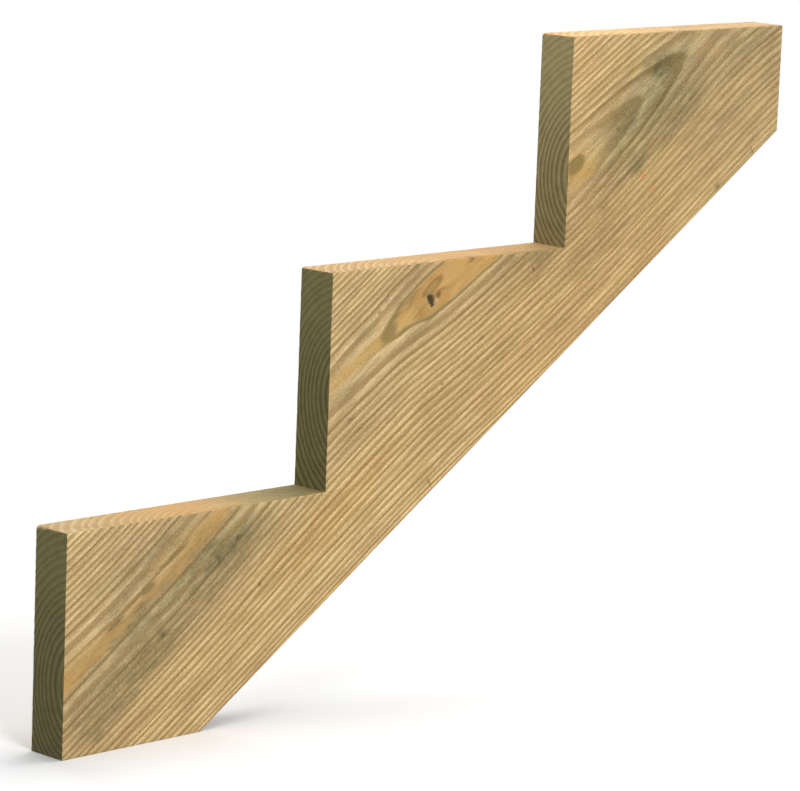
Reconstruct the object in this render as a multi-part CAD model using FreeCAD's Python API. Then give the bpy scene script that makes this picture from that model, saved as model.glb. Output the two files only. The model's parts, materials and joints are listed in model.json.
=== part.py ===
import FreeCAD, Part
import math
import os

# Sawn stair stringer: one board lying on the slope of the stair, cut level for
# the treads and plumb for the risers, so that each nosing point is on its upper edge.
# X runs along the stair from the face of the first riser, Y goes across the board
# from its mid-plane, and Z is up from the floor. Sizes are in millimetres.

# Board
board_thickness = 38.1
board_width = 234.95
eased_edge_radius = 3.0

# Steps: the first rise starts at the floor, and the top run ends at the header
step_count = 3
step_rise = 184.15
step_run = 279.4
first_rise = 184.15
top_run = 279.4

# Slope of the stair, and what follows from it
slope = math.atan2(step_rise, step_run)
plumb_depth = board_width / math.cos(slope)
header_x = (step_count - 1) * step_run + top_run
floor_cut_end_x = (plumb_depth - first_rise) / math.tan(slope)


def lower_edge_z(x):
    """Height of the board's lower edge at a distance along the stair."""
    return first_rise + x * math.tan(slope) - plumb_depth


def saw_outline():
    """Corners of the side face, from the toe up the steps and back down the lower edge."""
    corners = [(0, 0)]
    for step in range(step_count):
        riser_x = step * step_run
        seat_z = first_rise + step * step_rise
        is_top_step = step == step_count - 1
        seat_end_x = header_x if is_top_step else riser_x + step_run
        corners.append((riser_x, seat_z))
        corners.append((seat_end_x, seat_z))
    corners.append((header_x, lower_edge_z(header_x)))
    corners.append((floor_cut_end_x, 0))
    return corners


def sawn_board():
    """The board with all its level and plumb cuts, and sharp corners throughout."""
    side = [FreeCAD.Vector(x, -board_thickness / 2, z) for x, z in saw_outline()]
    outline = Part.makePolygon(side + side[:1])
    return Part.Face(outline).extrude(FreeCAD.Vector(0, board_thickness, 0))


def ease_lower_edge(board):
    """Round the two long corners left from the planed board; the sawn ones stay sharp."""
    uphill = FreeCAD.Vector(math.cos(slope), 0, math.sin(slope))
    long_corners = []
    for edge in board.Edges:
        direction = edge.tangentAt(edge.FirstParameter)
        if direction.cross(uphill).Length < 1e-6:
            long_corners.append(edge)
    return board.makeFillet(eased_edge_radius, long_corners)


os.makedirs("parts", exist_ok=True)
stringer = ease_lower_edge(sawn_board())
stringer.exportStep("parts/stringer.step")
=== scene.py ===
import json
import math

import bpy
import numpy as np
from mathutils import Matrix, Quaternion, Vector, noise


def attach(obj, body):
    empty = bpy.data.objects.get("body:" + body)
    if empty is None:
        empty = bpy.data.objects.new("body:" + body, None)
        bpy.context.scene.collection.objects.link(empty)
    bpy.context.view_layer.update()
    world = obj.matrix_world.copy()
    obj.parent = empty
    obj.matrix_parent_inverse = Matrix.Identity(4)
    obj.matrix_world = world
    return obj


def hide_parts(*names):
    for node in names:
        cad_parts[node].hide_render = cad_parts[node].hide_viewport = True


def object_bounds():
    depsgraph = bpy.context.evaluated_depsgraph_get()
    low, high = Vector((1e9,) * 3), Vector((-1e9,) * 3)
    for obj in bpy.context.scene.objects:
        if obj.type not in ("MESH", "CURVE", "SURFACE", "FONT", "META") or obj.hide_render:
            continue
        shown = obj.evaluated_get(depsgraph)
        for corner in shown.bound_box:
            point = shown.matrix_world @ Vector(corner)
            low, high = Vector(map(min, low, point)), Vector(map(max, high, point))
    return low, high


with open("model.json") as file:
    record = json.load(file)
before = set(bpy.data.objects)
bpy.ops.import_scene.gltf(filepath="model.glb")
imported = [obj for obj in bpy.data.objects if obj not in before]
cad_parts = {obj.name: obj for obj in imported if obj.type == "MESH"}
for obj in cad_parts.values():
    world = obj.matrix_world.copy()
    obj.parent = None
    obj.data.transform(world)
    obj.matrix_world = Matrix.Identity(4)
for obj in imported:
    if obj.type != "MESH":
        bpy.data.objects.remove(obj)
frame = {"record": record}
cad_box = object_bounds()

# Sizes of the sawn board in millimetres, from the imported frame
MM = 1000.0
places = {mount["name"]: mount["pos_m"] for mount in frame["record"]["mounts"]}
STEPS = sum(name.startswith("tread_seat") for name in places)
RISE = places["tread_seat_1"][2] * MM
RUN = places["riser_face_2"][0] * MM
HEADER_X = places["header_face"][0] * MM
HALF_THICKNESS = places["far_side"][1] * MM
SLOPE = math.atan2(RISE, RUN)
COS = math.cos(SLOPE)
SIN = math.sin(SLOPE)
TOP_Z = STEPS * RISE
HEADER_LOW_Z = 2 * places["header_face"][2] * MM - TOP_Z
BOARD_WIDTH = (RISE - HEADER_LOW_Z) * COS + HEADER_X * SIN
NOSING_PITCH = math.hypot(RISE, RUN)
THROAT = RISE * COS

# Radius of the two long corners that are left of the planed board
EASED_EDGE = 2.0

# Places on the board: along is up the slope from the first nosing point, down is square
# to the slope from the line of nosings, and across is through the board from its mid-plane.


def stair_point(along, down, across):
    """A place on the board as a point of the stair, in millimetres."""
    x = along * COS + down * SIN
    z = RISE + along * SIN - down * COS
    return np.stack([x, across, z], axis=-1)


# Shader values as Python expressions


class Finish:
    """A material or surrounding in the making, and the one way in which nodes are added to it."""

    def __init__(self, owner):
        owner.use_nodes = True
        self.owner = owner
        self.tree = owner.node_tree
        self.tree.nodes.clear()

    def node(self, kind, settings=None, sockets=None):
        """A new node: its settings first, then the values or links of its sockets."""
        node = self.tree.nodes.new("ShaderNode" + kind)
        for name, value in (settings or {}).items():
            setattr(node, name, value)
        for name, value in (sockets or {}).items():
            socket = node.inputs[name]
            if isinstance(value, Grain):
                self.tree.links.new(value.socket, socket)
            elif isinstance(value, bpy.types.NodeSocket):
                self.tree.links.new(value, socket)
            else:
                socket.default_value = value
        return node

    def value(self, kind, settings=None, sockets=None, output=0):
        """The output of a new node as a value to reckon with."""
        return Grain(self, self.node(kind, settings, sockets).outputs[output])

    def mix(self, share, under, over, blend="MIX"):
        """Colour over laid on colour under, by a share from 0 to 1."""
        settings = {"data_type": "RGBA", "blend_type": blend, "clamp_factor": True}
        return self.node("Mix", settings, {0: share, 6: under, 7: over}).outputs[2]

    def shade(self, colour, brightness):
        """A colour made lighter or darker by a value."""
        settings = {"operation": "SCALE"}
        return self.node("VectorMath", settings, {0: colour, "Scale": brightness}).outputs[0]

    def cloud(self, x, y, z, detail=2.0, roughness=0.5):
        """Soft noise from 0 to 1 at a place given by three values."""
        place = self.value("CombineXYZ", None, {"X": x, "Y": y, "Z": z})
        sockets = {"Vector": place, "Scale": 1.0, "Detail": detail, "Roughness": roughness}
        return self.value("TexNoise", None, sockets)


class Grain:
    """A shader value: arithmetic on it adds Math nodes to its material."""

    def __init__(self, finish, socket):
        self.finish = finish
        self.socket = socket

    def math(self, operation, *terms):
        sockets = dict(enumerate(terms))
        return self.finish.value("Math", {"operation": operation}, sockets)

    def __add__(self, other):
        return self.math("ADD", self, other)

    def __radd__(self, other):
        return self.math("ADD", other, self)

    def __sub__(self, other):
        return self.math("SUBTRACT", self, other)

    def __rsub__(self, other):
        return self.math("SUBTRACT", other, self)

    def __mul__(self, other):
        return self.math("MULTIPLY", self, other)

    def __rmul__(self, other):
        return self.math("MULTIPLY", other, self)

    def __truediv__(self, other):
        return self.math("DIVIDE", self, other)


def sine(x):
    return x.math("SINE", x) if isinstance(x, Grain) else np.sin(x)


def root(x):
    return x.math("SQRT", x) if isinstance(x, Grain) else np.sqrt(x)


def fraction(x):
    return x.math("FRACT", x) if isinstance(x, Grain) else x - np.floor(x)


def whole(x):
    return x.math("FLOOR", x) if isinstance(x, Grain) else np.floor(x)


def size_of(x):
    return x.math("ABSOLUTE", x) if isinstance(x, Grain) else np.abs(x)


def bell(x):
    """1 at zero, falling smoothly to nothing some two units away."""
    power = x * x * -1.0
    return x.math("EXPONENT", power) if isinstance(x, Grain) else np.exp(power)


def ramp(x, low, high):
    """Smooth rise from 0 at low to 1 at high."""
    if isinstance(x, Grain):
        sockets = {"Value": x, "From Min": low, "From Max": high}
        return x.finish.value("MapRange", {"interpolation_type": "SMOOTHSTEP"}, sockets)
    part = share(x, low, high)
    return part * part * (3.0 - 2.0 * part)


def share(x, low, high):
    """Straight rise from 0 at low to 1 at high."""
    if isinstance(x, Grain):
        return x.finish.value("MapRange", None, {"Value": x, "From Min": low, "From Max": high})
    return np.clip((x - low) / (high - low), 0.0, 1.0)


# Growth rings, one formula for the raised grain of the mesh and the colour of the wood

# Ring widths in mm from the pith outwards, the juvenile core first
RING_WIDTHS = [19.7, 7.6, 6.4, 5.2, 4.6, 4.2, 4.5, 4.4, 3.8, 5.1, 4.9, 5.9, 4.7, 3.6]
RING_WIDTHS += [5.2, 5.4, 4.5, 4.4, 5.1, 4.3, 3.3, 2.9, 3.5, 4.4, 4.1, 4.6, 4.2]
RING_ENDS = np.cumsum(RING_WIDTHS).tolist()
CORE_DARKENS = 18.0
RING_STRETCH = 1.11

# The pith runs in front of the near side. Each bend is its centre along, reach and size in mm.
PITH_DOWN = 102.5
PITH_LEAN = 0.007
PITH_DOWN_BENDS = [(154.0, 95.0, -6.2), (350.0, 178.0, -21.5), (778.0, 200.0, -9.9)]
PITH_GAP = 16.8
PITH_GAP_BENDS = [
    (-110.0, 35.0, -2.8),
    (30.0, 60.0, 1.2),
    (260.0, 82.0, 6.1),
    (362.0, 34.0, 3.0),
    (428.0, 63.0, -6.8),
    (607.0, 30.0, -1.4),
    (692.0, 120.0, 4.7),
    (848.0, 128.0, 19.7),
]
# Outer rings grow straighter than the pith: the bends die away over these distances
DOWN_BEND_REACH = 117.0
GAP_BEND_REACH = 200.0


def bends(along, table):
    return sum(size * bell((along - centre) / reach) for centre, reach, size in table)


def ring_radius(along, down, across):
    """Distance from the pith, stretched where the rings are wider up and down the board."""
    from_pith = down - PITH_DOWN
    inwards = across + (HALF_THICKNESS + PITH_GAP)
    apart = root(from_pith * from_pith + inwards * inwards)
    bent_down = bends(along, PITH_DOWN_BENDS) * bell(apart / DOWN_BEND_REACH)
    bent_in = bends(along, PITH_GAP_BENDS) * bell(apart / GAP_BEND_REACH)
    sideways = (from_pith - PITH_LEAN * along - bent_down) / RING_STRETCH
    inwards = inwards + bent_in
    return root(sideways * sideways + inwards * inwards)


def ring_count(radius):
    """Rings from the pith outwards: a whole number at the end of each one."""
    pairs = zip([CORE_DARKENS] + RING_ENDS, RING_ENDS)
    return sum(share(radius, start, end) for start, end in pairs)


def late_wood(count):
    """0 in the pale early wood, 1 in the dark line that ends each ring."""
    part = fraction(count)
    line_fades = (1.0 - ramp(part, 0.02, 0.2)) * ramp(count, 0.5, 0.6)
    return ramp(part, 0.3, 0.97) + line_fades


# The board's mesh

ROW_STEP = 1.2
POINT_STEP = 4.0
EDGE_STEPS = [0.0, 0.5, 1.0, 1.5, EASED_EDGE]
ACROSS_STEP = 2.3
KNOT = (415.0, 92.0)
KNOT_REACH = 22.0
KNOT_STEP = 1.4
TINY = 1e-4


def even_steps(start, end, step):
    return np.linspace(start, end, max(1, math.ceil((end - start) / step)) + 1)


def across_steps():
    """Places through the board, closer together at its two sides."""
    inner = HALF_THICKNESS - EASED_EDGE
    edge = [HALF_THICKNESS - step for step in EDGE_STEPS]
    middle = even_steps(-inner, inner, ACROSS_STEP)[1:-1]
    return [-place for place in edge] + list(middle) + edge[::-1]


def row_depths():
    """Depths of the rows of points on the two sides: those of the teeth, then of the band."""
    teeth = even_steps(0.0, THROAT, ROW_STEP)
    band = even_steps(THROAT, BOARD_WIDTH - EASED_EDGE, ROW_STEP)
    edge = [BOARD_WIDTH - step for step in EDGE_STEPS[-2::-1]]
    return teeth, np.concatenate([band, edge])


def row_stops(left, right, down):
    """Places along one row of a side, with a pair close inside the row's two ends."""
    knot_along, knot_down = KNOT
    step_count = math.ceil((right - left) / POINT_STEP)
    first = math.ceil(left / POINT_STEP)
    last = math.ceil(right / POINT_STEP)
    stops = [k * POINT_STEP for k in range(first, last)]
    if abs(down - knot_down) < KNOT_REACH:
        stops = [stop for stop in stops if abs(stop - knot_along) > KNOT_REACH]
        stops += list(even_steps(knot_along - KNOT_REACH, knot_along + KNOT_REACH, KNOT_STEP))
    margin = 1.2 * EDGE_STEPS[1] / SIN
    inside = [stop for stop in sorted(stops) if left + 2 * margin < stop < right - 2 * margin]
    if step_count > 2:
        inside = [left + EDGE_STEPS[1] / COS] + inside + [right - EDGE_STEPS[1] / SIN]
    return inside


class SawnBoard:
    """Points and faces of the board: two sides zipped from rows, and a rim between them."""

    def __init__(self):
        self.points = []
        self.faces = []
        self.rims = {}

    def point(self, along, down, across):
        self.points.append((along, down, across))
        return len(self.points) - 1

    def rim(self, along, down):
        """The points through the board at one place of its outline, from near to far."""
        key = (round(along, 3), round(down, 3))
        if key not in self.rims:
            self.rims[key] = [self.point(along, down, across) for across in across_steps()]
        return self.rims[key]

    def stop(self, along, down, on_rim):
        """One place of a row: where it is, and its points on the near and the far side."""
        if on_rim:
            through = self.rim(along, down)
            return along, through[0], through[-1]
        near = self.point(along, down, -HALF_THICKNESS)
        far = self.point(along, down, HALF_THICKNESS)
        return along, near, far

    def row(self, left, right, down, all_rim=False):
        stops = [self.stop(left, down, True)]
        if right - left > TINY:
            stops += [self.stop(along, down, all_rim) for along in row_stops(left, right, down)]
            stops.append(self.stop(right, down, True))
        return stops

    def zip_rows(self, upper, lower):
        """Triangles between two rows, on the near side and turned over on the far side."""
        i = 0
        j = 0
        while i < len(upper) - 1 or j < len(lower) - 1:
            lower_done = j == len(lower) - 1
            upper_next = i < len(upper) - 1 and (lower_done or upper[i + 1][0] < lower[j + 1][0])
            third = upper[i + 1] if upper_next else lower[j + 1]
            corners = [upper[i], lower[j], third]
            self.faces.append([corner[1] for corner in corners])
            self.faces.append([corner[2] for corner in reversed(corners)])
            i += upper_next
            j += not upper_next

    def edge_strip(self, outline):
        """Quads through the board along one stretch of its outline."""
        columns = [self.rim(along, down) for along, down in outline]
        for first, second in zip(columns, columns[1:]):
            for k in range(len(first) - 1):
                self.faces.append([first[k], second[k], second[k + 1], first[k + 1]])


def tooth_ends(step, down):
    """Where a row of one tooth meets its riser cut and its tread cut."""
    nosing = step * NOSING_PITCH
    return nosing - down * SIN / COS, nosing + down * COS / SIN


def band_ends(down):
    """Where a row below the notches meets the floor cut and the header cut."""
    return (down * COS - RISE) / SIN, (HEADER_X - down * SIN) / COS


def sawn_board():
    board = SawnBoard()
    tooth_depths, band_depths = row_depths()
    throat_row = []
    for step in range(STEPS):
        ends = [tooth_ends(step, down) for down in tooth_depths]
        rows = [board.row(left, right, down) for (left, right), down in zip(ends, tooth_depths)]
        for upper, lower in zip(rows, rows[1:]):
            board.zip_rows(upper, lower)
        board.edge_strip([(left, down) for (left, right), down in zip(ends, tooth_depths)][::-1])
        board.edge_strip([(right, down) for (left, right), down in zip(ends, tooth_depths)])
        throat_row += rows[-1][1:] if throat_row else rows[-1]
    ends = [band_ends(down) for down in band_depths]
    upper = throat_row
    for (left, right), down in zip(ends[1:], band_depths[1:]):
        lower = board.row(left, right, down, all_rim=down == band_depths[-1])
        board.zip_rows(upper, lower)
        upper = lower
    board.edge_strip([(right, down) for (left, right), down in zip(ends, band_depths)])
    board.edge_strip([(stop[0], band_depths[-1]) for stop in upper][::-1])
    board.edge_strip([(left, down) for (left, right), down in zip(ends, band_depths)][::-1])
    return board


# Wear and raised grain

GRAIN_RELIEF = 0.05
SAWN_RELIEF = 0.08
SAWN_ARRIS = 0.5
LEAST_ARRIS = 0.4
MOST_ARRIS = 1.8
NICK_LENGTH = 3.0
WAVE_LENGTH = 14.0
SHARP_ANGLE = math.radians(35.0)
NOSING_WEAR = 0.5
NOSING_REACH = 2.0
FAR_NOSING_WEAR = [0.9, 0.2, 0.6]
CHECK_ALONG = 411.6
CHECK_TOP = 85.5
CHECK_WIDEST = 90.5
CHECK_LOW = 99.5
CHECK_DEPTH = 1.4


def knot_check(along, down):
    """The open check in the knot, from 0 beside it to 1 in it: a wedge that closes below."""
    half_width = 1.7 + 3.1 * bell((down - CHECK_WIDEST) / 4.5)
    middle = CHECK_ALONG + 0.6 * half_width
    starts = ramp(down, CHECK_TOP - 1.0, CHECK_TOP + 1.5)
    closes = 1.0 - ramp(down, CHECK_LOW - 4.5, CHECK_LOW)
    return bell((along - middle) / half_width) * starts * closes


def outline_sides():
    """Each stretch of the outline: its two ends, its outward direction and its arris radius."""
    plumb_left = (-1.0, 0.0, 0.0)
    level_up = (0.0, 0.0, 1.0)
    sides = []
    for step in range(STEPS):
        left, right = tooth_ends(step, THROAT)
        nosing = (step * NOSING_PITCH, 0.0)
        sides.append(((left, THROAT), nosing, plumb_left, SAWN_ARRIS))
        sides.append((nosing, (right, THROAT), level_up, SAWN_ARRIS))
    top_left, top_right = band_ends(THROAT)
    low_left, low_right = band_ends(BOARD_WIDTH)
    sides.append(((top_right, THROAT), (low_right, BOARD_WIDTH), (1.0, 0.0, 0.0), SAWN_ARRIS))
    sides.append(((low_right, BOARD_WIDTH), (low_left, BOARD_WIDTH), (SIN, 0.0, -COS), EASED_EDGE))
    sides.append(((low_left, BOARD_WIDTH), (top_left, THROAT), (0.0, 0.0, -1.0), SAWN_ARRIS))
    return sides


def rounded(gap, radius):
    """Moves that turn a sharp corner into an arc: along the other face's direction and its own."""
    turn = (1.0 - np.clip(gap / radius, 0.0, 1.0)) * math.pi / 4
    shift = np.where(gap < radius, gap - radius * (1 - np.sin(turn)), 0.0)
    sink = -radius * (1 - np.cos(turn))
    return shift, sink


def chipped(reach, across):
    """Arris size from place to place along a sawn edge, as a share of the whole."""
    spots = list(zip(reach.tolist(), across.tolist()))
    nicks = np.array([noise.noise((run / NICK_LENGTH, 0.0, side)) for run, side in spots])
    waves = np.array([noise.noise((run / WAVE_LENGTH, 5.0, side)) for run, side in spots])
    return np.clip(0.9 + 0.7 * (nicks + 0.6 * waves), LEAST_ARRIS, MOST_ARRIS)


def worn_points(points):
    """The board's points in metres, with its arrises softened and its grain raised."""
    along, down, across = points.T
    late = late_wood(ring_count(ring_radius(along, down, across)))
    moved = stair_point(along, down, across)
    side_gap = HALF_THICKNESS - np.abs(across)
    on_side = side_gap < TINY
    far_share = across / HALF_THICKNESS * 0.5 + 0.5
    outwards = np.stack([0 * across, np.sign(across), 0 * across], axis=-1)
    check = CHECK_DEPTH * knot_check(along, down) * (across < 0)
    moved -= outwards * (on_side * (GRAIN_RELIEF * (1.0 - late) + check))[:, None]
    for start, end, direction, radius in outline_sides():
        direction = np.array(direction)
        length = math.dist(start, end)
        run_along = (end[0] - start[0]) / length
        run_down = (end[1] - start[1]) / length
        reach = (along - start[0]) * run_along + (down - start[1]) * run_down
        gap = np.abs((along - start[0]) * run_down - (down - start[1]) * run_along)
        beside = (reach > -TINY) & (reach < length + TINY) & (gap < EASED_EDGE + 1.0)
        on_rim = beside & (gap < TINY)
        moved -= direction * (on_rim * SAWN_RELIEF * (1.0 - late))[:, None]
        size = np.full(len(along), radius)
        if radius < EASED_EDGE:
            size[beside] *= chipped(reach[beside], np.sign(across[beside]))
        shift, sink = rounded(gap, size)
        near_rim = beside & on_side & ~on_rim
        moved += (direction * shift[:, None] + outwards * sink[:, None]) * near_rim[:, None]
        shift, sink = rounded(side_gap, size)
        moved += (outwards * shift[:, None] + direction * sink[:, None]) * on_rim[:, None]
    for step in range(STEPS):
        apart = np.hypot(along - step * NOSING_PITCH, down) / NOSING_REACH
        wear = NOSING_WEAR + FAR_NOSING_WEAR[step] * ramp(far_share, 0.5, 1.0)
        blunt = wear * np.clip(1.0 - apart, 0.0, 1.0)
        moved += blunt[:, None] * np.array([SIN, 0.0, -COS])
    return moved / MM


def stringer_piece():
    board = sawn_board()
    points = worn_points(np.array(board.points))
    mesh = bpy.data.meshes.new("stringer_board")
    mesh.from_pydata(points.tolist(), [], board.faces)
    mesh.validate()
    mesh.shade_smooth()
    mesh.set_sharp_from_angle(angle=SHARP_ANGLE)
    piece = bpy.data.objects.new("stringer_board", mesh)
    bpy.context.scene.collection.objects.link(piece)
    return piece


# Colour of the wood


def paint(red, green, blue):
    """A colour as seen on a screen, 0 to 255, as the shader's linear colour."""
    def linear(part):
        part = part / 255.0
        return part / 12.92 if part <= 0.04045 else ((part + 0.055) / 1.055) ** 2.4
    return linear(red), linear(green), linear(blue), 1.0


PALE_EARLY_WOOD = paint(230, 197, 144)
DULL_EARLY_WOOD = paint(206, 172, 117)
LATE_WOOD = paint(151, 116, 61)
HEART_WOOD = paint(204, 153, 82)
END_EARLY = paint(153, 145, 97)
END_LATE = paint(103, 96, 59)
UPPER_END_EARLY = paint(197, 181, 130)
UPPER_END_LATE = paint(145, 130, 85)
CUT_EARLY = paint(194, 159, 105)
GREEN_CAST = (0.92, 0.99, 0.9, 1.0)
GREY_CAST = (0.93, 0.96, 1.02, 1.0)
MOSS_CAST = (0.93, 1.03, 1.01, 1.0)
COOL_CAST = (0.98, 1.0, 1.03, 1.0)
TAN_CAST = (1.03, 0.985, 0.87, 1.0)
WARM_CAST = (1.02, 0.995, 0.96, 1.0)
STAIN_TINT = (0.37, 0.43, 0.41, 1.0)
MARK_TINT = (0.10, 0.09, 0.08, 1.0)
KNOT_BROWN = paint(112, 82, 42)
KNOT_BLACK = paint(48, 49, 32)
OLIVE_WOOD = paint(147, 122, 70)
KNOT_RIM = paint(140, 118, 70)
STREAK_WOOD = paint(207, 166, 100)
FRESH_CUT = (1.08, 1.0, 0.97, 1.0)
SOILED_CUT = (0.56, 0.66, 0.52, 1.0)
SPECK_RED = paint(226, 120, 70)

# Marks on the near side: along, down, reach along, reach down, strength
GREY_STAINS = [
    (10.0, 58.0, 30.0, 12.0, 0.16),
    (46.0, 74.0, 34.0, 11.0, 0.36),
    (90.0, 76.0, 30.0, 11.0, 0.34),
    (-48.0, 95.0, 16.0, 8.0, 0.15),
    (-42.0, 110.0, 18.0, 5.0, 0.2),
    (10.0, 85.0, 26.0, 5.0, 0.36),
    (114.0, 97.0, 26.0, 7.0, 0.2),
    (146.0, 100.0, 14.0, 6.0, 0.2),
    (18.0, 106.0, 34.0, 8.0, 0.48),
    (90.0, 112.0, 50.0, 13.0, 0.5),
    (84.0, 125.0, 26.0, 8.0, 0.15),
    (122.0, 123.0, 28.0, 11.0, 0.6),
    (112.0, 110.0, 9.0, 4.0, 0.3),
    (6.0, 127.0, 66.0, 17.0, 0.42),
    (170.0, 136.0, 38.0, 18.0, 0.2),
    (-4.0, 147.0, 44.0, 13.0, 0.36),
    (48.0, 146.0, 48.0, 14.0, 0.27),
    (112.0, 142.0, 34.0, 12.0, 0.4),
    (-64.0, 146.0, 26.0, 20.0, 0.36),
    (-40.0, 159.0, 44.0, 8.0, 0.3),
    (152.0, 122.0, 20.0, 18.0, 0.28),
    (190.0, 156.0, 30.0, 9.0, 0.12),
    (425.0, 58.0, 34.0, 11.0, 0.34),
    (388.0, 66.0, 22.0, 5.0, 0.2),
    (338.0, 64.0, 22.0, 10.0, 0.24),
    (318.0, 98.0, 30.0, 6.0, 0.16),
    (398.0, 106.0, 36.0, 8.0, 0.3),
    (402.0, 90.0, 16.0, 6.0, 0.28),
    (290.0, 95.0, 22.0, 9.0, 0.2),
    (394.0, 76.0, 20.0, 5.0, 0.4),
    (506.0, 123.0, 36.0, 15.0, 0.4),
    (546.0, 142.0, 24.0, 12.0, 0.66),
    (576.0, 170.0, 18.0, 18.0, 0.1),
    (720.0, 112.0, 64.0, 38.0, 0.52),
    (684.0, 97.0, 30.0, 13.0, 0.12),
    (744.0, 91.0, 21.0, 15.0, 0.52),
    (752.0, 92.0, 12.0, 12.0, 0.36),
    (712.0, 80.0, 16.0, 5.0, 0.22),
    (738.0, 76.0, 10.0, 5.0, 0.3),
    (764.0, 84.0, 9.0, 6.0, 0.12),
    (780.0, 95.0, 18.0, 9.0, 0.5),
    (768.0, 138.0, 14.0, 8.0, 0.22),
    (760.0, 128.0, 30.0, 10.0, 0.24),
    (656.0, 123.0, 26.0, 12.0, 0.3),
    (683.0, 140.0, 18.0, 7.0, 0.34),
    (624.0, 156.0, 9.0, 6.0, 0.3),
    (640.0, 149.0, 14.0, 6.0, 0.2),
    (664.0, 151.0, 24.0, 6.0, 0.2),
    (684.0, 112.0, 20.0, 4.0, 0.3),
    (676.0, 147.0, 24.0, 6.0, 0.4),
    (748.0, 147.0, 34.0, 8.0, 0.42),
    (846.0, 140.0, 40.0, 26.0, 0.4),
    (880.0, 162.0, 16.0, 26.0, 0.3),
    (862.0, 196.0, 20.0, 14.0, 0.2),
    (810.0, 182.0, 50.0, 6.0, 0.26),
]
ORANGE_STREAKS = [
    (-46.0, 97.0, 24.0, 8.0, 1.0),
    (-14.0, 100.5, 14.0, 4.0, 0.8),
    (8.0, 106.0, 12.0, 3.0, 0.8),
    (58.0, 100.0, 14.0, 5.0, 0.9),
    (80.0, 95.5, 18.0, 5.0, 0.9),
    (106.0, 90.0, 18.0, 7.0, 0.9),
    (62.0, 85.0, 14.0, 4.0, 0.9),
    (88.0, 80.5, 14.0, 4.0, 0.6),
    (310.0, 82.5, 40.0, 6.0, 1.5),
    (346.0, 84.0, 12.0, 5.0, 0.8),
    (378.0, 88.0, 10.0, 5.0, 0.9),
    (444.0, 87.0, 34.0, 10.0, 1.0),
    (470.0, 101.0, 14.0, 6.0, 0.5),
    (616.0, 98.0, 18.0, 9.0, 1.0),
    (622.0, 112.0, 22.0, 7.0, 1.2),
    (804.0, 109.0, 10.0, 5.0, 0.4),
    (818.0, 120.0, 12.0, 5.0, 0.5),
]
RING_DENTS = [(386.0, 98.0, 16.0, 7.0, 2.2), (498.0, 108.0, 16.0, 7.0, -2.0)]
OLIVE_TIPS = [
    (-1.0, 95.5, 16.0, 3.6, 0.75),
    (26.0, 101.5, 14.0, 3.0, 0.5),
    (41.0, 94.5, 13.0, 3.8, 0.75),
    (76.0, 89.5, 24.0, 2.8, 0.75),
    (360.0, 84.0, 15.0, 7.5, 0.78),
    (375.0, 93.5, 13.0, 3.2, 0.62),
    (374.0, 76.5, 13.0, 2.8, 0.5),
    (616.0, 99.0, 14.0, 8.5, 0.95),
]
DARK_MARKS = [
    (137.0, 122.0, 3.0, 2.0, 0.7),
    (112.0, 123.0, 3.0, 4.0, 0.45),
    (33.0, 137.0, 3.0, 3.0, 0.5),
    (135.5, 172.0, 0.9, 2.0, 0.8),
    (387.5, 162.0, 1.5, 1.0, 0.8),
    (446.0, 157.0, 3.0, 2.0, 0.35),
    (527.0, 145.0, 1.2, 2.6, 0.6),
    (287.0, 119.0, 3.0, 2.0, 0.4),
    (360.0, 62.0, 2.0, 1.0, 0.7),
    (372.0, 59.0, 2.0, 1.0, 0.6),
    (472.0, 91.0, 5.0, 2.0, 0.55),
    (332.0, 226.0, 1.2, 5.0, 0.5),
    (757.0, 229.0, 3.0, 3.0, 0.5),
    (812.0, 229.0, 1.2, 4.0, 0.5),
    (675.0, 104.0, 2.0, 2.0, 0.5),
    (729.0, 151.0, 1.0, 1.0, 0.7),
]
RED_SPECKS = [(681.0, 159.5, 2.6, 1.5, 1.0), (685.5, 177.0, 2.2, 1.5, 0.8)]
MOSSY_PATCH = [(706.0, 110.0, 66.0, 30.0, 1.0)]
BARK_NOTCH = [(422.8, 92.4, 3.8, 2.3, 1.0)]
SPLINTER = [(419.5, 95.0, 1.1, 2.4, 1.0)]

# A warmer stretch right through the board, in the same form
TAN_PATCH = [(225.0, 177.0, 100.0, 19.0, 1.0)]

# Knot: its rim by distance from the pith, its leaf of bark, and the streak that leans away below it
RIM_RADIUS = 19.2
RIM_ALONG = 430.0
LEAF_ALONG = 421.0
LEAF_DOWN = 82.0
LEAF_LENGTH = 11.5
LEAF_WIDTH = 3.6
BARK_STREAK_ALONG = 429.0
BARK_STREAK_DOWN = 88.0
BARK_STREAK_START = 420.0
BARK_STREAK_LEAN = 0.33


def marked(along, down, table):
    """How strongly the marks of one kind show at a place."""
    return sum(
        strength * bell((along - at) / long) * bell((down - below) / wide)
        for at, below, long, wide, strength in table
    )


# The wood in its material: numbers beside along, down and across are in mm on the board

# Marks of the near side reach this far in: in full, and at all
MARKS_FULL = 3.0
MARKS_END = 10.0


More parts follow.
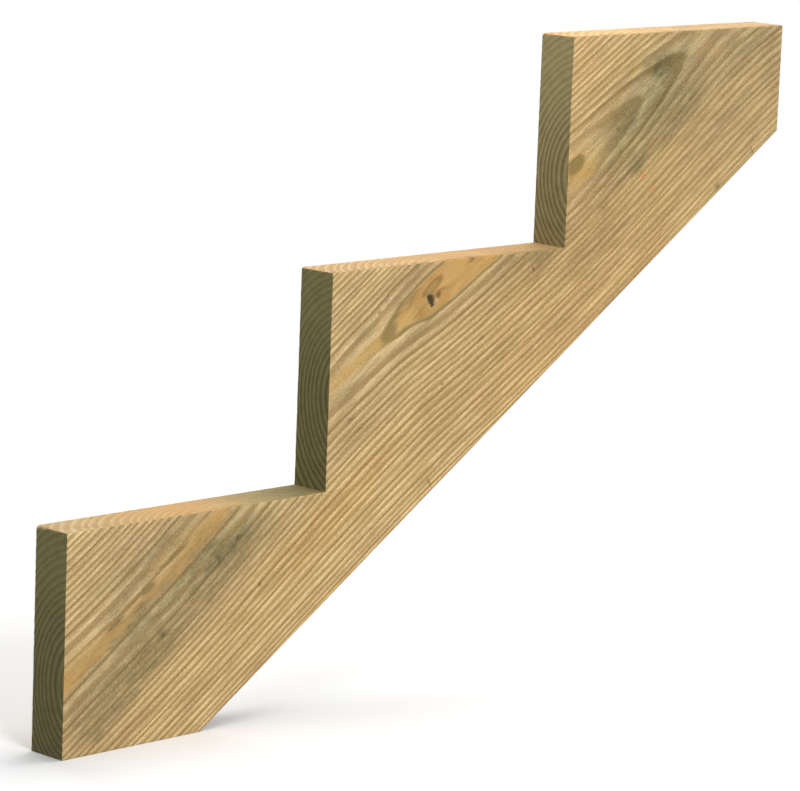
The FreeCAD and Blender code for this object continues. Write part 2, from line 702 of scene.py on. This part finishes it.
class PineWood:
    """Places on the board, its rings and its fine figure as values of one material."""

    def __init__(self, pine):
        self.pine = pine
        spot = pine.node("TexCoord")
        self.normal = spot.outputs["Normal"]
        split = pine.node("SeparateXYZ", None, {"Vector": spot.outputs["Object"]})
        x, y, z = (Grain(pine, output) for output in split.outputs)
        self.along = x * (MM * COS) + z * (MM * SIN) - RISE * SIN
        self.down = x * (MM * SIN) - z * (MM * COS) + RISE * COS
        self.across = y * MM
        self.near = 1.0 - ramp(self.across, MARKS_FULL - HALF_THICKNESS, MARKS_END - HALF_THICKNESS)
        turn = pine.node("SeparateXYZ", None, {"Vector": self.normal})
        self.level = ramp(Grain(pine, turn.outputs["Z"]), 0.7, 0.95)

        # Noise drawn out along the grain, from broad drifts to single pores
        self.drift = self.figure(110.0, 18.0)
        self.tone = self.figure(28.0, 3.0, 3.0, 0.6)
        self.fibre = self.figure(30.0, 0.7, 3.0, 0.65)
        self.blot = self.figure(26.0, 9.0, 3.0, 0.6, aside=7.0)
        self.mottle = self.figure(14.0, 6.0, 5.0, 0.65)
        self.ripple = self.figure(3.2, 1.6) - 0.5
        self.pore = self.figure(2.4, 1.0, 3.0, 0.75)

        # Rings, a little bowed and rippled, and dented beside the knot
        radius = ring_radius(self.along, self.down, self.across)
        bow = self.figure(45.0, 5.0) - 0.5
        dents = marked(self.along, self.down, RING_DENTS) * self.near
        self.grown = radius + bow * 1.5 + self.ripple * 1.1 + dents
        self.count = ring_count(self.grown)
        self.late = late_wood(self.count)

        # The heart, the mossy patch and the gold streaks, which more than one function needs
        core = self.grown + (self.blot - 0.5) * 3.0
        self.heart = 1.0 - ramp(core, CORE_DARKENS - 0.8, CORE_DARKENS + 1.4)
        self.mossy = marked(self.along, self.down, MOSSY_PATCH) * self.near
        streak_along = self.along + (self.mottle - 0.5) * 30.0
        streak_down = self.down + (self.blot - 0.5) * 8.0
        self.streaks = marked(streak_along, streak_down, ORANGE_STREAKS) * self.near

    def figure(self, long, wide, detail=2.0, roughness=0.5, aside=0.0):
        """Noise from 0 to 1, by its length along the grain and its width in mm."""
        deep = self.across / wide + aside
        return self.pine.cloud(self.along / long, self.down / wide, deep, detail, roughness)


def planed_wood(wood):
    """Early and late wood, each ring with its own strength, the heart, the streaks and olive tips."""
    pine = wood.pine
    strength = 0.66 + wood.tone * 0.5 + 0.15 * sine(whole(wood.count + 0.2) * 2.4)
    fades = ramp(wood.along, 420.0, 620.0) * (0.06 + 0.14 * ramp(wood.down, 50.0, 110.0))
    strength = strength * (0.86 - fades + wood.mossy * 0.12)
    early = pine.mix(ramp(wood.tone, 0.3, 0.7), DULL_EARLY_WOOD, PALE_EARLY_WOOD)
    face = pine.mix(wood.late * strength, early, LATE_WOOD)
    cut_across = pine.mix(wood.late * wood.late, CUT_EARLY, PALE_EARLY_WOOD)
    face = pine.mix(wood.level * 0.85, face, cut_across)
    face = pine.mix(wood.heart * (0.3 + wood.mottle), face, HEART_WOOD)
    face = pine.mix(wood.streaks * (0.3 + wood.mottle), face, STREAK_WOOD)
    tip_along = wood.along + wood.ripple * 4.0
    tip_down = wood.down + (wood.mottle - 0.5) * 5.0
    tips = marked(tip_along, tip_down, OLIVE_TIPS) * wood.near
    return pine.mix(ramp(tips, 0.3, 0.65) * 0.85, face, OLIVE_WOOD)


def with_casts(wood, face):
    """Casts of colour from place to place, painted shade over the near side, then the light and dark
    of fibres and pores.
    """
    pine = wood.pine
    along = wood.along
    down = wood.down
    warm = ramp(along, 300.0, 560.0) - ramp(along, 660.0, 820.0)
    casts = [
        (ramp(wood.drift, 0.4, 0.75) * 0.5, GREEN_CAST),
        ((1.0 - ramp(down, 115.0, 175.0)) * 0.8, GREY_CAST),
        (1.0 - warm, COOL_CAST),
        (warm, WARM_CAST),
        (wood.mossy, MOSS_CAST),
        (marked(along, down, TAN_PATCH), TAN_CAST),
    ]
    for amount, tint in casts:
        face = pine.mix(amount, face, tint, "MULTIPLY")
    # Painted shade over the near side: darker up the board below the tooth tips, lighter along the
    # tooth tips and the lower edge, a darker line just above that edge, and less of it on the gold
    # streaks
    painted_shade = ramp(along, 300.0, 660.0) * ramp(down, 40.0, 110.0) * 0.16
    painted_shade = painted_shade - (1.0 - ramp(down, 20.0, 70.0)) * 0.04 - ramp(down, 185.0, 215.0) * 0.04
    painted_shade = painted_shade + bell((down - 181.0) / 9.0) * 0.04 - painted_shade * wood.streaks * 0.6
    calm = wood.pore - (wood.pore - 0.5) * wood.heart * 0.55
    brightness = wood.fibre * 0.3 + wood.tone * 0.34 + calm * 1.6 + wood.drift * 0.5 - 0.37 - painted_shade
    return pine.shade(face, brightness)


def with_stains(wood, face):
    """Grey stains, which early and late wood soak up differently, dark marks and red specks."""
    pine = wood.pine
    along = wood.along
    down = wood.down
    blot_along = along + (wood.mottle - 0.5) * 26.0
    blot_down = down + (wood.blot - 0.5) * 16.0
    stain = marked(blot_along, blot_down, GREY_STAINS) * wood.near
    mould = wood.figure(3.4, 2.4, 3.0, 0.7)
    specks = ramp(wood.figure(2.4, 1.7, 2.0, 0.6), 0.57, 0.72)
    patchy = 0.27 + ramp(wood.mottle, 0.3, 0.7) * 0.65 + mould * 0.75 + specks * 0.4
    early_thirst = 1.35 - 0.4 * ramp(along, 300.0, 600.0) - wood.mossy * 0.2
    late_thirst = 0.8 + wood.mossy * 0.1
    soaked = stain * patchy * (early_thirst + wood.late * (late_thirst - early_thirst))
    face = pine.mix(soaked, face, STAIN_TINT, "MULTIPLY")
    face = pine.mix(marked(along, down, DARK_MARKS) * wood.near, face, MARK_TINT, "MULTIPLY")
    return pine.mix(marked(along, down, RED_SPECKS) * wood.near * 0.8, face, SPECK_RED)


def with_knot(wood, face):
    """An olive rim, a leaf of bark, a brown streak, a notch, the open check and a pale splinter."""
    pine = wood.pine
    near = wood.near
    rim = bell((wood.grown - RIM_RADIUS) / 1.1) * bell((wood.along - RIM_ALONG) / 75.0)
    face = pine.mix(rim * near * 0.75, face, KNOT_RIM)
    wavy_along = wood.along + wood.ripple * 5.0
    wavy_down = wood.down + (wood.mottle - 0.5) * 4.0
    leaf_along = (wavy_along - LEAF_ALONG) / LEAF_LENGTH
    leaf_down = (wavy_down - LEAF_DOWN) / LEAF_WIDTH
    leaf_out = root(leaf_along * leaf_along + leaf_down * leaf_down)
    leaf = 1.0 - ramp(leaf_out, 0.6, 1.2)
    face = pine.mix(leaf * near * 0.5, face, OLIVE_WOOD)
    leaf_edge = bell((leaf_out - 1.0) / 0.3)
    leans = (wood.along - BARK_STREAK_START) * BARK_STREAK_LEAN
    streak_down = wavy_down - BARK_STREAK_DOWN - leans
    streak = bell(streak_down / 1.8) * bell((wood.along - BARK_STREAK_ALONG) / 10.0)
    notch = marked(wavy_along, wavy_down, BARK_NOTCH)
    bark = leaf_edge * 0.5 + streak * 0.45 + notch * 0.95
    face = pine.mix(bark * near, face, KNOT_BROWN)
    check = ramp(knot_check(wavy_along, wavy_down), 0.2, 0.9)
    face = pine.mix(check * near * 0.95, face, KNOT_BLACK)
    return pine.mix(marked(wood.along, wood.down, SPLINTER) * near * 0.6, face, PALE_EARLY_WOOD)


def with_level_cuts(wood, face):
    """The treads, fresher on the upper steps, with painted shade that darkens the lower treads most,
    and soiled at the foot of the second riser.
    """
    pine = wood.pine
    along = wood.along
    level = wood.level
    face = pine.mix(level * ramp(along, 200.0, 300.0), face, FRESH_CUT, "MULTIPLY")
    # Painted shade: every tread darkened, the first by about a fifth and the top one only a little
    face = pine.shade(face, 1.0 - level * (0.225 - 0.185 * ramp(along, 300.0, 650.0)))
    orange = bell((along - 105.0) / 60.0) * 0.5 + bell((along - 470.0) / 70.0) * 0.2
    face = pine.mix(level * orange, face, HEART_WOOD)
    foot = ramp(along, 130.0, 215.0) * (1.0 - ramp(along, 260.0, 290.0))
    face = pine.mix(level * foot * (0.4 + wood.mottle), face, SOILED_CUT, "MULTIPLY")
    by_arris = 1.0 - ramp(wood.across, 1.0 - HALF_THICKNESS, 8.0 - HALF_THICKNESS)
    soil = level * by_arris * ramp(along, 240.0, 330.0) * ramp(wood.blot, 0.35, 0.65)
    return pine.mix(soil * 0.7, face, SOILED_CUT, "MULTIPLY")


def with_sawn_ends(wood, face):
    """The plumb cuts, lighter from the third riser up and darker towards the foot of each cut."""
    pine = wood.pine
    down = wood.down
    grain_way = (COS, 0.0, SIN)
    sockets = {0: wood.normal, 1: grain_way}
    end_on = size_of(pine.value("VectorMath", {"operation": "DOT_PRODUCT"}, sockets, "Value"))
    faint = (0.5 + 0.5 * ramp(down, 15.0, 80.0)) * (0.6 + wood.tone * 0.7)
    lower_end = pine.mix(wood.late * faint, END_EARLY, END_LATE)
    upper_end = pine.mix(wood.late * faint, UPPER_END_EARLY, UPPER_END_LATE)
    # Lighter end grain from the third riser up, less so towards the foot of the riser
    upper_share = ramp(wood.along, 380.0, 540.0) * (1.0 - 0.35 * ramp(down, 50.0, 150.0))
    end_grain = pine.mix(upper_share, lower_end, upper_end)
    # Darker towards the foot of each cut
    brightness = 0.66 + wood.blot * 0.5 + wood.pore * 0.4 - ramp(down, 10.0, 140.0) * 0.22
    end_grain = pine.shade(end_grain, brightness)
    return pine.mix(ramp(end_on, 0.62, 0.8), face, end_grain)


def treated_pine():
    pine = Finish(bpy.data.materials.new("treated_pine"))
    wood = PineWood(pine)
    colour = planed_wood(wood)
    for layer in (with_casts, with_stains, with_knot, with_level_cuts, with_sawn_ends):
        colour = layer(wood, colour)
    height = wood.fibre * 0.6 + wood.late * 0.2
    bump = pine.node("Bump", None, {"Strength": 0.2, "Distance": 0.0005, "Height": height})
    sockets = {
        "Base Color": colour,
        "Roughness": 0.86 - wood.late * 0.12,
        "Specular IOR Level": 0.3,
        "Normal": bump.outputs[0],
    }
    surface = pine.node("BsdfPrincipled", None, sockets)
    pine.node("OutputMaterial", None, {"Surface": surface.outputs[0]})
    return pine.owner


# Studio

WHITE = (1.0, 1.0, 1.0, 1.0)
FLOOR_SEEN = (0.9, 0.9, 0.9, 1.0)
FLOOR_LIT = (0.2, 0.2, 0.2, 1.0)
FLOOR_SIZE = 30.0
FLOOR_FADES_FROM = 0.5
FLOOR_FADES_TO = 1.1
AIR_LIGHT = 0.24


def seen_plainly(finish):
    """1 for rays from the camera, also by way of gloss or glass, and 0 for rays that only light."""
    rays = finish.node("LightPath")
    seen = Grain(finish, rays.outputs["Is Camera Ray"])
    seen = seen.math("MAXIMUM", seen, rays.outputs["Is Glossy Ray"])
    return seen.math("MAXIMUM", seen, rays.outputs["Is Transmission Ray"])


def studio_floor():
    """Pale floor that keeps the shadow by the object and goes to plain white further off."""
    bpy.ops.mesh.primitive_plane_add(size=FLOOR_SIZE)
    floor = bpy.context.object
    floor.name = "studio_floor"
    pale = Finish(bpy.data.materials.new("pale_floor"))
    place = pale.node("SeparateXYZ", None, {"Vector": pale.node("TexCoord").outputs["Object"]})
    x = Grain(pale, place.outputs["X"]) - HEADER_X / MM / 2
    y = Grain(pale, place.outputs["Y"])
    apart = root(x * x + y * y)
    near = pale.node("BsdfDiffuse", None, {"Color": FLOOR_SEEN})
    far = pale.node("Emission", None, {"Color": WHITE, "Strength": 1.0})
    white = ramp(apart, FLOOR_FADES_FROM, FLOOR_FADES_TO)
    sockets = {0: white, 1: near.outputs[0], 2: far.outputs[0]}
    shown = pale.node("MixShader", None, sockets)
    lit = pale.node("BsdfDiffuse", None, {"Color": FLOOR_LIT})
    sockets = {0: seen_plainly(pale), 1: lit.outputs[0], 2: shown.outputs[0]}
    both = pale.node("MixShader", None, sockets)
    pale.node("OutputMaterial", None, {"Surface": both.outputs[0]})
    floor.data.materials.append(pale.owner)


def studio_air():
    """Even white surroundings: full white to the eye, dimmer as light."""
    air = Finish(bpy.data.worlds.new("studio_air"))
    strength = AIR_LIGHT + seen_plainly(air) * (1.0 - AIR_LIGHT)
    sky = air.node("Background", None, {"Color": WHITE, "Strength": strength})
    air.node("OutputWorld", None, {"Surface": sky.outputs[0]})
    bpy.context.scene.world = air.owner


# Each lamp's name, place in metres, size in metres and power in watts
LAMPS = [
    ("front_lamp", (-0.7, -4.4, 2.0), 2.0, 185.0),
    ("top_lamp", (1.4, 0.1, 2.8), 2.4, 80.0),
    ("back_lamp", (1.3, 4.4, 0.7), 1.3, 110.0),
]


def soft_lamp(name, place, aim, size, power):
    lamp = bpy.data.lights.new(name, "AREA")
    lamp.size = size
    lamp.energy = power
    holder = bpy.data.objects.new(name, lamp)
    holder.location = place
    holder.rotation_mode = "QUATERNION"
    holder.rotation_quaternion = (Vector(aim) - Vector(place)).to_track_quat("-Z", "Y")
    holder.visible_camera = False
    bpy.context.scene.collection.objects.link(holder)


# Camera at the photograph's place, in metres
CAMERA_PLACE = Vector((-1.98933, -2.36355, 0.86309))
CAMERA_AIM = Vector((0.38165, 0.0, 0.25242))
CAMERA_ROLL = math.radians(2.211)
CAMERA_LENS = 180.337
CAMERA_SENSOR = 36.0
CAMERA_SEES_TO = 100.0


def studio_camera():
    view = bpy.data.cameras.new("photo_camera")
    view.sensor_fit = "HORIZONTAL"
    view.sensor_width = CAMERA_SENSOR
    view.lens = CAMERA_LENS
    view.clip_end = CAMERA_SEES_TO
    camera = bpy.data.objects.new("photo_camera", view)
    level = (CAMERA_AIM - CAMERA_PLACE).to_track_quat("-Z", "Y")
    camera.location = CAMERA_PLACE
    camera.rotation_mode = "QUATERNION"
    camera.rotation_quaternion = level @ Quaternion((0.0, 0.0, 1.0), CAMERA_ROLL)
    bpy.context.scene.collection.objects.link(camera)
    bpy.context.scene.camera = camera


stringer = stringer_piece()
stringer.data.materials.append(treated_pine())
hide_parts("stringer")
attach(stringer, "root")

studio_floor()
studio_air()
middle = (Vector(cad_box[0]) + Vector(cad_box[1])) / 2
for name, place, size, power in LAMPS:
    soft_lamp(name, place, middle, size, power)
studio_camera()
bpy.context.scene.view_settings.view_transform = "Standard"
